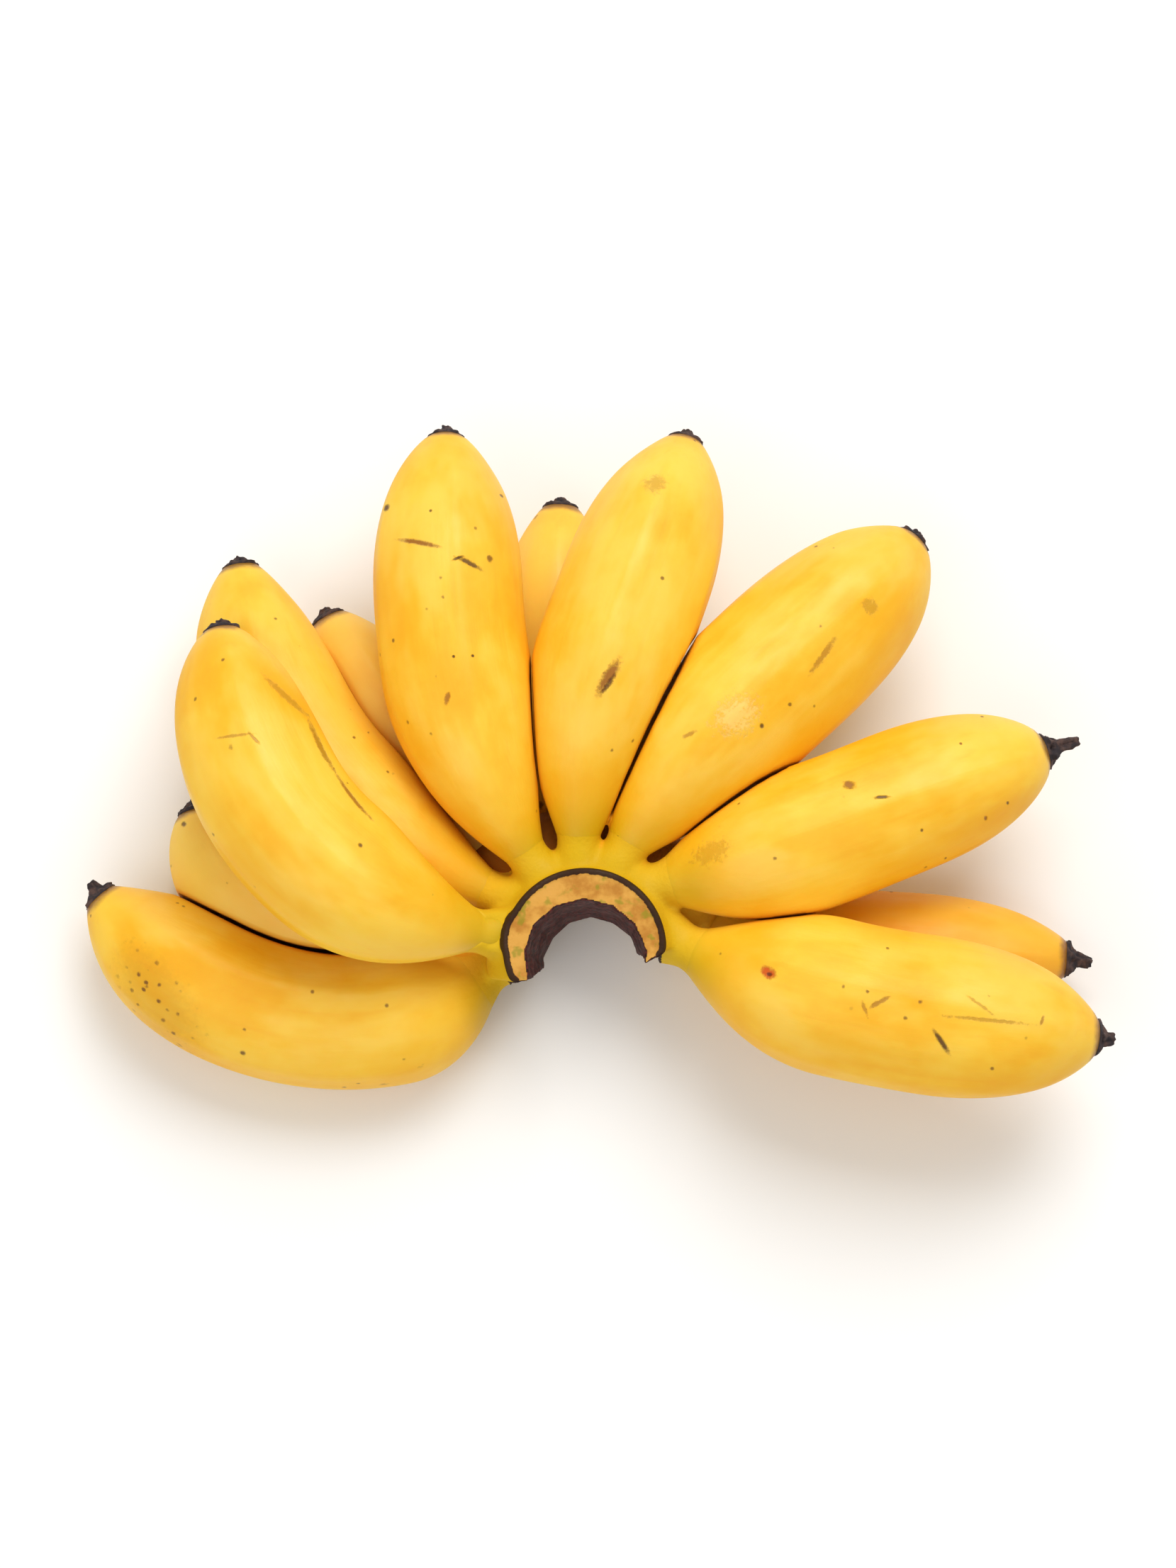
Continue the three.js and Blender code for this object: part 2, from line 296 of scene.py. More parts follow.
def turned_fruit(fruit):
    """A closed body spun from a chain of points, still straight, so that bend can keep each point's straight
    place.
    """
    bm = bmesh.new()
    last = bm.verts.new((0, 0, 0))
    chain = [last]
    for ring in range(ALONG):
        even = ring / (ALONG - 1)
        share = even + RING_CROWDING * math.sin(2 * math.pi * even)
        step = bmesh.ops.extrude_vert_indiv(bm, verts=[last])
        last = step["verts"][0]
        last.co = Vector((fruit.mean_radius(share), 0, share * fruit.length))
        chain.append(last)
    step = bmesh.ops.extrude_vert_indiv(bm, verts=[last])
    step["verts"][0].co = Vector((0, 0, fruit.length))
    bmesh.ops.spin(
        bm, geom=bm.verts[:] + bm.edges[:], cent=(0, 0, 0), axis=(0, 0, 1),
        angle=2 * math.pi, steps=AROUND, use_merge=True,
    )
    bmesh.ops.remove_doubles(bm, verts=bm.verts, dist=0.002 * MM)
    bmesh.ops.recalc_face_normals(bm, faces=bm.faces)
    return bm


# %% Bending it
def bend(bm, fruit):
    """Carries every point of the straight body over to the same place round the centreline."""
    straight = bm.verts.layers.float_vector.new("straight")
    for vert in bm.verts:
        radius = math.hypot(vert.co.x, vert.co.y)
        share = min(1.0, max(0.0, vert.co.z / fruit.length))
        angle = math.atan2(vert.co.y, vert.co.x)
        swell = fruit.skin_radius(share, angle) / fruit.mean_radius(share)
        across = radius * swell * math.cos(angle)
        above = radius * swell * math.sin(angle)
        vert[straight] = Vector((across, above, vert.co.z))
        point, tangent, side, rise = fruit.frame_at(share)
        vert.co = point + side * across + rise * above


bodies = {}
for fruit in fruits:
    bodies[fruit.name] = turned_fruit(fruit)
    bend(bodies[fruit.name], fruit)
print("points in one fruit:", len(bodies["front_banana_4"].verts))

# %% [markdown]
# ## Pressing the fruits together
#
# Ripe bananas are soft. Where two would run into each other, both give way until they meet on one
# shared face, and a back fruit gives way more than a front one. Where a fruit lies on the table it is
# pressed a little flat. For each point we ask how deep it sits inside each neighbour, move it towards
# its own centreline by its share, and remember how near the neighbour is: there the peel is painted
# darker as shade in the crease.

# %% Pressing
CONTACT_GAP = 0.05 * MM
# How far from a neighbour's skin the painted crease shade reaches; fruits nearer than this count as
# neighbours.
CREASE_SHADE_WIDTH = 3.5 * MM
SOFT_BACK = 0.75


def relax(bm, verts, times):
    """Moves points towards the middle of their neighbours, a few times over."""
    for _ in range(times):
        bmesh.ops.smooth_vert(
            bm, verts=verts, factor=0.5, use_axis_x=True, use_axis_y=True, use_axis_z=True,
        )


def yields(fruit, other):
    """The share of an overlap that a fruit takes: soft back fruits give way more."""
    if fruit.front == other.front:
        return 0.5
    return 1 - SOFT_BACK if fruit.front else SOFT_BACK


def neighbours_of(fruit):
    """The fruits whose skins come close to this one's anywhere past the necks."""
    near = []
    for other in fruits:
        if other is fruit:
            continue
        gaps = [
            other.tree.find(fruit.points[i])[2]
            - other.mean_radius(other.tree.find(fruit.points[i])[1] / (SAMPLES - 1))
            - fruit.mean_radius(i / (SAMPLES - 1))
            for i in range(0, SAMPLES, 8)
        ]
        if min(gaps) < CREASE_SHADE_WIDTH:
            near.append(other)
    return near


def press(bm, fruit, near):
    """Moves skin out of the neighbours and the table, writes how much painted crease shade each point gets,
    and counts what moved.
    """
    crease_shade = bm.verts.layers.float.new("crease_shade")
    moved = set()
    for vert in bm.verts:
        centre, i, distance = fruit.tree.find(vert.co)
        for other in near:
            own = yields(fruit, other)
            for _ in range(2):
                gap, way_out = other.skin_gap(vert.co)
                if gap > CONTACT_GAP:
                    break
                inward = (centre - vert.co).normalized()
                facing = max(0.0, inward.dot(way_out))
                step = own * (CONTACT_GAP - gap) / ((1 - own) + own * facing)
                vert.co += inward * min(step, 0.6 * distance)
                moved.add(vert)
            gap, way_out = other.skin_gap(vert.co)
            depth = max(0.0, -gap)
            # Painted shade: the nearer a neighbour's skin, the more crease shade this point gets.
            crease_shade_amount = 1 - smoothstep(gap + depth, 0, CREASE_SHADE_WIDTH)
            vert[crease_shade] = max(vert[crease_shade], crease_shade_amount)
        vert.co.z = max(vert.co.z, 0.0)
    edge = {v for m in moved for e in m.link_edges for v in e.verts}
    relax(bm, [v for v in edge if v.co.z > 0.5 * MM], 3)
    return len(moved)


for fruit in fruits:
    near = neighbours_of(fruit)
    count = press(bodies[fruit.name], fruit, near)
    print(fruit.name, "pressed at", count, "points by", [o.name for o in near])


# %% Turning a finished bmesh into a piece
def make_piece(bm, name, material):
    """One object at the origin with its place in its mesh, riding on the hand's only body."""
    for face in bm.faces:
        face.smooth = True
    data = bpy.data.meshes.new(name)
    bm.to_mesh(data)
    bm.free()
    data.materials.append(material)
    piece = bpy.data.objects.new(name, data)
    bpy.context.collection.objects.link(piece)
    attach(piece, "root")
    return piece

# %% [markdown]
# ## Painting with numbers
#
# A procedural material is a small sum: masks between 0 and 1 choose between colours. To write such
# sums as plain expressions we wrap a node's output socket in a class with arithmetic, so `mask * 0.5`
# makes the Math node by itself. One method adds any other node: its settings first, then the values or
# links of its sockets.

# %% Shader arithmetic
class Link:
    """One output of a shader node, with arithmetic that adds Math nodes."""

    def __init__(self, paint, socket):
        self.paint = paint
        self.socket = socket

    def math(self, operation, *values):
        return self.paint.node("ShaderNodeMath", {"operation": operation}, dict(enumerate(values)))

    def __add__(self, other):
        return self.math("ADD", self, other)

    def __sub__(self, other):
        return self.math("SUBTRACT", self, other)

    def __mul__(self, other):
        return self.math("MULTIPLY", self, other)

    def step(self, low, high, start=0.0, stop=1.0):
        """A soft step from start, at low, to stop, at high."""
        if low > high:
            low, high, start, stop = high, low, stop, start
        return self.paint.node(
            "ShaderNodeMapRange", {"interpolation_type": "SMOOTHSTEP"},
            {"Value": self, "From Min": low, "From Max": high, "To Min": start, "To Max": stop},
        )


class Paint:
    """A material whose nodes are added one call at a time."""

    def __init__(self, name):
        self.material = bpy.data.materials.new(name)
        self.material.use_nodes = True
        self.tree = self.material.node_tree
        self.surface = self.tree.nodes["Principled BSDF"]

    def node(self, kind, settings, inputs, output=0):
        """Any node: its settings, then its sockets by name or number, then the output wanted."""
        made = self.tree.nodes.new(kind)
        for name, value in settings.items():
            setattr(made, name, value)
        for name, value in inputs.items():
            if isinstance(value, Link):
                self.tree.links.new(value.socket, made.inputs[name])
            else:
                made.inputs[name].default_value = value
        return Link(self, made.outputs[output])

    def place(self):
        return self.node("ShaderNodeTexCoord", {}, {}, "Object")

    def attribute(self, name, output="Fac"):
        return self.node("ShaderNodeAttribute", {"attribute_name": name}, {}, output)

    def noise(self, where, scale, detail=3.0, roughness=0.55):
        return self.node(
            "ShaderNodeTexNoise", {},
            {"Vector": where, "Scale": scale, "Detail": detail, "Roughness": roughness},
        )

    def mapped(self, where, location=(0, 0, 0), turn=(0, 0, 0), scale=(1, 1, 1), kind="POINT"):
        return self.node(
            "ShaderNodeMapping", {"vector_type": kind},
            {"Vector": where, "Location": location, "Rotation": turn, "Scale": scale},
        )

    def mix(self, factor, low, high):
        """Between two colours, each a tuple or a link."""
        return self.node(
            "ShaderNodeMix", {"data_type": "RGBA", "clamp_factor": True},
            {0: factor, 6: self.colour(low), 7: self.colour(high)}, 2,
        )

    def colour(self, value):
        return value if isinstance(value, Link) else (*value, 1.0)

    def bump(self, height, depth, under=None):
        inputs = {"Height": height, "Distance": depth}
        if under is not None:
            inputs["Normal"] = under
        return self.node("ShaderNodeBump", {}, inputs)

    def finish(self, **values):
        """Feeds the surface: links where it varies, plain numbers where it doesn't."""
        for name, value in values.items():
            socket = self.surface.inputs[name.replace("_", " ")]
            if isinstance(value, Link):
                self.tree.links.new(value.socket, socket)
            else:
                socket.default_value = value
        return self.material


def srgb(red, green, blue):
    """A colour as seen on a screen, 0 to 255, turned into light."""
    def light(v):
        v = v / 255
        return v / 12.92 if v <= 0.04045 else ((v + 0.055) / 1.055) ** 2.4
    return (light(red), light(green), light(blue))


print("a ripe yellow as light:", tuple(round(v, 3) for v in srgb(252, 200, 50)))

# %% [markdown]
# ## Ripe peel
#
# Ripe peel is a warm, slightly mottled yellow. It is greener where the neck meets the crown and brown
# just before the dried flower. Deeper orange and brown are painted into the creases between fruits as
# shade, and the upper side of each fruit is painted paler as light. Fine fibres run along it, tiny brown
# specks are scattered over it, and each fruit carries its own few scars. The crown's skin shares the
# neck's colours, so that the two grow into each other without a seam.

# %% The colours
SUNNY = srgb(249, 199, 52)
RIPE = srgb(244, 183, 20)
DEEP = srgb(238, 152, 3)
GREEN = srgb(204, 168, 4)
# Painted shade: the brown laid into the creases between fruits and between necks.
CREASE_SHADE = srgb(134, 56, 8)
# Painted light: a paler lemon for the upper side of every fruit and for three back fruits.
LIT_LEMON = srgb(255, 216, 98)
SPECK = srgb(104, 52, 6)
TIP_BROWN = srgb(120, 66, 34)

# Green reaches this far from the stalk's axis, and fades out here.
GREEN_FULL = 20 * MM
GREEN_GONE = 37 * MM


# %% Layers of the peel
def skin_colours(paint):
    """Mottled yellow that turns green towards the stalk, in the hand's own space."""
    where = paint.place()
    cloud = paint.noise(where, 32, detail=2.0)
    fine = paint.noise(where, 210, detail=4.0)
    tone = (cloud * 0.8 + fine * 0.2).step(0.36, 0.64)
    yellow = paint.mix(tone, RIPE, SUNNY)
    centred = paint.mapped(where, location=(-HUB.x, -HUB.y, 0), scale=(1, 1, 0))
    reach = paint.node("ShaderNodeVectorMath", {"operation": "LENGTH"}, {0: centred}, "Value")
    ragged = reach + (cloud - 0.5) * 0.02
    green = ragged.step(GREEN_FULL, GREEN_GONE, 1.0, 0.0)
    return paint.mix(green * 0.85, yellow, GREEN), where, fine


def shade_creases(paint, skin):
    """Painted shade: deeper orange towards a neighbour, and brown where the two all but touch."""
    crease_shade = paint.attribute("crease_shade")
    skin = paint.mix(crease_shade.step(0.25, 0.9) * 0.55, skin, DEEP)
    return paint.mix(crease_shade.step(0.86, 1.0) * 0.75, skin, CREASE_SHADE)


def specks(paint, straight, size, chance, seed, core=0.11):
    """Round spots with ragged rims, in a few random cells of a 3-D pattern."""
    moved = paint.mapped(straight, location=(seed, 2.3 * seed, 0.7 * seed))
    bent = paint.noise(straight, 900, detail=2.0)
    cell = {"Vector": moved, "Scale": 1 / size, "Randomness": 1.0}
    distance = paint.node("ShaderNodeTexVoronoi", {}, cell, "Distance")
    tint = paint.node("ShaderNodeTexVoronoi", {}, cell, "Color")
    lottery = paint.node("ShaderNodeSeparateColor", {}, {0: tint}, 0)
    spot = (distance + (bent - 0.5) * 1.5 * core).step(0.5 * core, 1.4 * core, 1.0, 0.0)
    return spot * lottery.step(chance, chance + 0.02, 1.0, 0.0)


def mark(paint, straight, across, along, width, length, turn, ragged):
    """A scar at a place on the upper skin, all in millimetres, turned by some degrees."""
    local = paint.mapped(
        straight, (across * MM, 0, along * MM), (0, math.radians(turn), 0),
        (width / 2 * MM, 1, length / 2 * MM), "TEXTURE",
    )
    flat = paint.mapped(local, scale=(1, 0, 1))
    reach = paint.node("ShaderNodeVectorMath", {"operation": "LENGTH"}, {0: flat}, "Value")
    torn = paint.noise(straight, 900, detail=5.0, roughness=0.7)
    upper = paint.node("ShaderNodeSeparateXYZ", {}, {0: straight}, 1)
    edge = reach + (torn - 0.5) * 1.6 * ragged
    return edge.step(0.35, 1.05, 1.0, 0.0) * upper.step(0.0, 2 * MM)


def peel(fruit):
    """One fruit's own peel: yellows, painted crease shade, a painted paler top, specks, its scars and its
    brown end.
    """
    paint = Paint("ripe peel " + fruit.name)
    skin, where, fine = skin_colours(paint)
    straight = paint.attribute("straight", "Vector")
    shifted = paint.mapped(straight, location=(0.11 * fruit.order, 0.07 * fruit.order, 0))
    fibres = paint.noise(paint.mapped(shifted, scale=(1, 1, 0.06)), 420, detail=3.0)
    patches = paint.noise(paint.mapped(shifted, scale=(1, 1, 0.45)), 75, detail=3.0)
    along = paint.node("ShaderNodeSeparateXYZ", {}, {0: straight}, 2)
    grown = along.step(12 * MM, 34 * MM)
    skin = paint.mix(patches.step(0.50, 0.72) * grown * 0.26, skin, DEEP)
    skin = paint.mix(fibres.step(0.55, 0.75) * grown * 0.16, skin, DEEP)
    upper = paint.node("ShaderNodeSeparateXYZ", {}, {0: straight}, 1)
    # Painted light: the upper side of each fruit is paler, as if lit from above.
    painted_top_light = upper.step(0.15 * fruit.full, 0.95 * fruit.full) * patches.step(0.62, 0.36)
    skin = paint.mix(painted_top_light * grown * 0.5, skin, LIT_LEMON)
    # Painted light on three back fruits, painted shade on the fourth.
    share, tint = BACK_ROW_LIGHT_AND_SHADE.get(fruit.name, (0.0, DEEP))
    skin = paint.mix(grown * share, skin, tint)

    # Painted shade in the creases between fruits.
    skin = shade_creases(paint, skin)

    small = specks(paint, shifted, 4.2 * MM, 0.12, 1.0)
    large = specks(paint, shifted, 9 * MM, 0.05, 5.0)
    skin = paint.mix(small * 0.75, skin, SPECK)
    skin = paint.mix(large * 0.8, skin, SPECK)

    scars = None
    for *place, strength, tint in MARKS.get(fruit.name, ()):
        scar = mark(paint, straight, *place)
        skin = paint.mix(scar * strength, skin, tint)
        scars = scar * strength if scars is None else scars + scar * strength
    if fruit.name in DOTTED:
        patch = mark(paint, straight, *DOTTED[fruit.name])
        skin = paint.mix(patch * 0.22, skin, OLIVE)
        skin = paint.mix(specks(paint, shifted, 2.3 * MM, 0.7, 9.0, 0.24) * patch * 0.85, skin, SPECK)

    ending = (along + (fine - 0.5) * 2.4 * MM).step(fruit.length - 2.4 * MM, fruit.length - 0.4 * MM)
    skin = paint.mix(ending * 0.8, skin, TIP_BROWN)

    relief = paint.bump(fibres, 0.12 * MM)
    relief = paint.bump(fine, 0.10 * MM, under=relief)
    if scars is not None:
        relief = paint.bump(scars, 0.25 * MM, under=relief)
    return paint.finish(
        Base_Color=skin, Roughness=patches.step(0.3, 0.7, 0.40, 0.54), Normal=relief,
        Subsurface_Weight=0.25, Subsurface_Radius=(1.0, 0.45, 0.1), Subsurface_Scale=3.5 * MM,
        Specular_IOR_Level=0.38,
    )


# Painted light and shade on the back row: three fruits are painted paler as light, and one is painted a
# deeper orange as shade.
BACK_ROW_LIGHT_AND_SHADE = {
    "back_banana_1": (0.55, LIT_LEMON), "back_banana_2": (0.55, LIT_LEMON), "back_banana_3": (0.3, LIT_LEMON),
    "back_banana_4": (0.35, DEEP),
}

# Scars, in millimetres and degrees: across from the centreline and along from the root, width, length,
# turn, raggedness, strength, tint.
BROWN = srgb(136, 66, 4)
BLACK = srgb(70, 28, 6)
RUSTY = srgb(206, 70, 2)
# A pale cream, laid as one large, faint patch on the upper skin of front_banana_6.
PALE_PATCH = srgb(255, 214, 140)
OLIVE = srgb(160, 106, 2)
MARKS = {
    "front_banana_1": ((-14, 62, 1.2, 1.5, 0, 0.6, 0.8, BLACK),),
    "front_banana_2": (
        (15.6, 72, 1.6, 20, 1, 0.9, 0.75, OLIVE), (14.8, 54, 1.2, 20, 5, 0.9, 0.75, BROWN),
        (12.2, 88, 2.2, 17, -30, 1.0, 0.5, OLIVE),
        (1.8, 78, 0.9, 5, -22, 1.0, 0.5, BROWN), (-2.4, 80.5, 0.8, 10, -72, 1.2, 0.45, BROWN),
        (6.8, 44, 1.3, 1.4, 0, 0.6, 0.8, BLACK),
    ),
    "front_banana_4": (
        (-6, 83.3, 1.5, 13, 110, 0.7, 0.85, BROWN), (6, 77.5, 1.5, 8, 114, 0.9, 0.85, BLACK),
        (3.5, 78.5, 0.9, 4, 70, 0.8, 0.8, BLACK), (-14, 94.6, 1.8, 2.2, 0, 0.6, 0.9, BLACK),
        (-3, 91, 0.9, 0.9, 0, 0.4, 0.8, BLACK), (14, 98.8, 1.2, 1.3, 0, 0.4, 0.8, BLACK),
        (0, 55.7, 0.9, 0.9, 0, 0.4, 0.9, BLACK), (4.6, 55.2, 0.9, 0.9, 0, 0.4, 0.9, BLACK),
        (-3.6, 47, 1.6, 3.6, 30, 0.9, 0.7, BROWN),
    ),
    "front_banana_5": (
        (2, 45.5, 3.4, 10.5, 18, 0.9, 0.85, BROWN), (2.4, 44, 1.4, 6, 22, 0.9, 0.7, BLACK),
        (-2.8, 92.4, 6, 6, 20, 1.8, 0.35, BROWN),
    ),
    "front_banana_6": (
        (6.2, 87.2, 5, 4, 0, 1.6, 0.4, OLIVE), (7.3, 70.7, 1.8, 12, -12, 1.4, 0.5, BROWN),
        (3.3, 46, 10, 13, 17, 1.6, 0.4, PALE_PATCH), (9.4, 48.7, 1.4, 1.4, 0, 0.4, 0.85, BLACK),
        (-2, 36, 1.2, 4, 30, 1.2, 0.5, BROWN),
    ),
    "front_banana_7": (
        (-5.9, 54.7, 2.6, 3.4, 40, 0.9, 0.8, BROWN), (0, 60.2, 1.1, 4.4, 20, 0.8, 0.85, BLACK),
        (12.5, 82.7, 1.2, 1.2, 0, 0.4, 0.8, BROWN), (10.8, 89.3, 0.9, 0.9, 0, 0.4, 0.8, BLACK),
        (10.4, 66.5, 0.9, 0.9, 0, 0.4, 0.8, BLACK), (-5.9, 82.9, 0.9, 0.9, 0, 0.4, 0.8, BROWN),
        (-2, 20, 6, 10, 0, 1.8, 0.3, OLIVE),
    ),
    "front_banana_8": (
        (1.3, 28.4, 3.2, 4.6, 20, 0.9, 0.9, RUSTY), (1.6, 28.8, 1.2, 1.6, 0, 0.5, 0.8, BLACK),
        (8.3, 68.7, 1.5, 7.8, 47, 0.6, 0.9, BLACK), (1.9, 53.8, 1.3, 6, -44, 1.3, 0.6, BROWN),
        (4, 51, 1.0, 4, 60, 1.2, 0.5, BROWN), (1.8, 78, 1.1, 22, -3, 1.3, 0.5, OLIVE),
        (0, 90.8, 1.0, 3.4, 104, 1.0, 0.6, BROWN), (-1.5, 76, 0.9, 8, 30, 1.2, 0.5, OLIVE),
    ),
    "back_banana_1": ((-3.5, 87.7, 1.6, 1.8, 0, 0.5, 0.8, BLACK),),
}

# A patch of small dots, placed like a scar.
DOTTED = {"front_banana_1": (-10.5, 84, 17, 34, 26, 0.5)}

# %% [markdown]
# ## The crown
#
# The crown is the strip of stalk that all the necks grow from. On the real hand, knife and tear left a
# pale crescent on top, a dark dried outline round it, and a dark, rough wall where the stalk was. The
# necks run into the shoulder with no seam at all, which no lathe or box can give. So we turn a
# shoulder and split off its front, lay twelve short neck stubs over it, melt them together on a voxel
# grid and relax them, and only then cut: the faceted notch, the split front once more and the flat
# top. A second, finer grid gives every cut face enough points to be roughened and coloured by place.
# Low down the shoulder swells into a cushion that closes the gaps between the upper necks.

# %% Sizes of the crown
NOTCH_RADIUS = 14.7 * MM
NOTCH_CENTRE = Vector((0, -2.8)) * MM
FOOT_RADIUS = 11.7 * MM
FOOT_CENTRE = Vector((1.6, 1.7)) * MM
NOTCH_FACETS = 13
FRONT_TOP = -7 * MM
FRONT_FOOT = 3 * MM
FRONT_HALF = 18.2 * MM
SHOULDER_OUTLINE = (
    (0, 8), (19, 8), (25, 11), (31, 16), (36, 20), (39, 23.5), (36, 27), (31, 28.5), (25, 31),
    (22, 36), (19.4, 41), (18.8, 46), (0, 46),
)
CUSHION_START = 24 * MM
STUB_INSIDE = 5
STUB_OUTSIDE = 14
STUB_FLARE = 2.4
STUB_INSET = 0.3
STUB_RINGS = 12
COARSE_GRID = 0.6 * MM
FINE_GRID = 0.4 * MM
print("crown:", len(SHOULDER_OUTLINE), "points in its outline,", NOTCH_FACETS, "facets round the notch")


def add_turned(bm, outline, steps):
    """Spins an outline of radius and height in millimetres into a closed body, and gives its points."""
    turned = bmesh.new()
    last = turned.verts.new((outline[0][0] * MM, 0, outline[0][1] * MM))
    for radius, height in outline[1:]:
        last = bmesh.ops.extrude_vert_indiv(turned, verts=[last])["verts"][0]
        last.co = Vector((radius, 0, height)) * MM
    bmesh.ops.spin(
        turned, geom=turned.verts[:] + turned.edges[:], cent=(0, 0, 0), axis=(0, 0, 1),
        angle=2 * math.pi, steps=steps, use_merge=True,
    )
    bmesh.ops.remove_doubles(turned, verts=turned.verts, dist=0.001 * MM)
    bmesh.ops.recalc_face_normals(turned, faces=turned.faces)
    data = bpy.data.meshes.new("turned")
    turned.to_mesh(data)
    turned.free()
    count = len(bm.verts)
    bm.from_mesh(data)
    bpy.data.meshes.remove(data)
    bm.verts.ensure_lookup_table()
    return bm.verts[count:]


def add_neck(bm, fruit):
    """A stub of neck that starts inside the shoulder, widest there, and thins to the fruit's own neck."""
    outline = [(0, -STUB_INSIDE)]
    for step in range(STUB_RINGS):
        along = -STUB_INSIDE + (STUB_INSIDE + STUB_OUTSIDE) * step / (STUB_RINGS - 1)
        share = max(0.0, along * MM / fruit.length)
        flare = STUB_FLARE * (1 - max(0.0, along) / STUB_OUTSIDE) ** 2 - STUB_INSET
        outline.append((fruit.mean_radius(share) / MM + flare, along))
    outline.append((0, STUB_OUTSIDE))
    for vert in add_turned(bm, outline, 24):
        share = vert.co.z / fruit.length
        point, tangent, side, rise = fruit.frame_at(max(0.0, share))
        if share < 0:
            point = point + tangent * vert.co.z
        vert.co = point + side * vert.co.x + rise * vert.co.y


# %% Melting and cutting
def evaluated(bm, *modifiers):
    """The mesh after some modifiers, each a kind with its settings, as a new bmesh."""
    data = bpy.data.meshes.new("rough")
    bm.to_mesh(data)
    bm.free()
    rough = bpy.data.objects.new("rough", data)
    bpy.context.collection.objects.link(rough)
    for kind, settings in modifiers:
        modifier = rough.modifiers.new(kind, kind)
        for name, value in settings.items():
            setattr(modifier, name, value)
    graph = bpy.context.evaluated_depsgraph_get()
    result = bpy.data.meshes.new_from_object(rough.evaluated_get(graph))
    bpy.data.objects.remove(rough)
    fresh = bmesh.new()
    fresh.from_mesh(result)
    bpy.data.meshes.remove(result)
    return fresh


def melt(grid):
    """The modifier that wraps everything in one skin on a voxel grid of this width."""
    return "REMESH", {"mode": "VOXEL", "voxel_size": grid}


def cut_away(cutter):
    """The modifier that takes a cutter's space out of the mesh."""
    return "BOOLEAN", {"object": cutter, "operation": "DIFFERENCE", "solver": "EXACT"}


def at_height(top, foot, height):
    """A value between the crown's underside and its cut face, and on past both."""
    return foot + (top - foot) * ((height - CROWN_BOTTOM) / (CROWN_TOP - CROWN_BOTTOM))


def as_cutter(bm, name):
    """An object for the boolean cut."""
    bmesh.ops.recalc_face_normals(bm, faces=bm.faces)
    data = bpy.data.meshes.new(name)
    bm.to_mesh(data)
    bm.free()
    cutter = bpy.data.objects.new(name, data)
    bpy.context.collection.objects.link(cutter)
    return cutter


def notch_cutter():
    """A leaning, faceted cone with uneven facets."""
    bm = bmesh.new()
    bmesh.ops.create_cone(
        bm, cap_ends=True, segments=NOTCH_FACETS, radius1=1.0, radius2=1.0, depth=60 * MM,
    )
    upright = [e for e in bm.edges if abs(e.verts[0].co.z - e.verts[1].co.z) > MM]
    bmesh.ops.subdivide_edges(bm, edges=upright, cuts=7, use_grid_fill=True)
    for vert in bm.verts:
        height = vert.co.z + 25 * MM
        radius = at_height(NOTCH_RADIUS, FOOT_RADIUS, height)
        centre = at_height(NOTCH_CENTRE, FOOT_CENTRE, height)
        uneven = noise.noise(Vector((vert.co.x * 2.1, vert.co.y * 2.1, height / (14 * MM))))
        radius *= 1 + 0.055 * uneven
        vert.co = HUB + Vector((centre.x + radius * vert.co.x, centre.y + radius * vert.co.y, height))
    return as_cutter(bm, "notch cutter")


def front_at(across, height):
    """Where the split front runs: it leans, is twisted a little, and cuts the right end to a point."""
    across = min(19 * MM, max(-19 * MM, across))
    top = FRONT_TOP + 0.08 * across + 1.2 * max(0.0, across - 14.5 * MM)
    foot = FRONT_FOOT + 0.2 * across
    return at_height(top, foot, height)


def front_cutter(half):
    """All that lies in front of the split, this far to each side."""
    bm = bmesh.new()
    bmesh.ops.create_cube(bm, size=2)
    bmesh.ops.subdivide_edges(bm, edges=bm.edges, cuts=23, use_grid_fill=True)
    far = -2 * CROWN_WIDTH
    for vert in bm.verts:
        across = vert.co.x * half
        height = 25 * MM + vert.co.z * 30 * MM
        depth = far + (front_at(across, height) - far) * (vert.co.y + 1) / 2
        vert.co = HUB + Vector((across, depth, height))
    return as_cutter(bm, "front cutter")


def top_cutter():
    """A wide low disc that slices the rim off level, above the necks' own height."""
    bm = bmesh.new()
    bmesh.ops.create_cone(
        bm, cap_ends=True, segments=64, radius1=30 * MM, radius2=30 * MM, depth=10 * MM,
    )
    bmesh.ops.rotate(bm, verts=bm.verts, cent=(0, 0, 0), matrix=Matrix.Rotation(math.radians(1.5), 3, "X"))
    bmesh.ops.translate(bm, verts=bm.verts, vec=HUB + Vector((0, 0, CROWN_TOP + 5 * MM)))
    return as_cutter(bm, "top cutter")


def split_shoulder():
    """The turned shoulder, cut off along the leaning front before any neck joins it."""
    bm = bmesh.new()
    for vert in add_turned(bm, SHOULDER_OUTLINE, 64):
        reach = vert.co.xy.length
        if reach > CUSHION_START:
            kept = CUSHION_START + (reach - CUSHION_START) * smoothstep(vert.co.y, 4 * MM, 18 * MM)
            vert.co = Vector((vert.co.x * kept / reach, vert.co.y * kept / reach, vert.co.z))
        vert.co += HUB
    cutter = front_cutter(1.5 * CROWN_WIDTH)
    bm = evaluated(
        bm,
        melt(COARSE_GRID),
        cut_away(cutter),
    )
    bpy.data.objects.remove(cutter)
    return bm


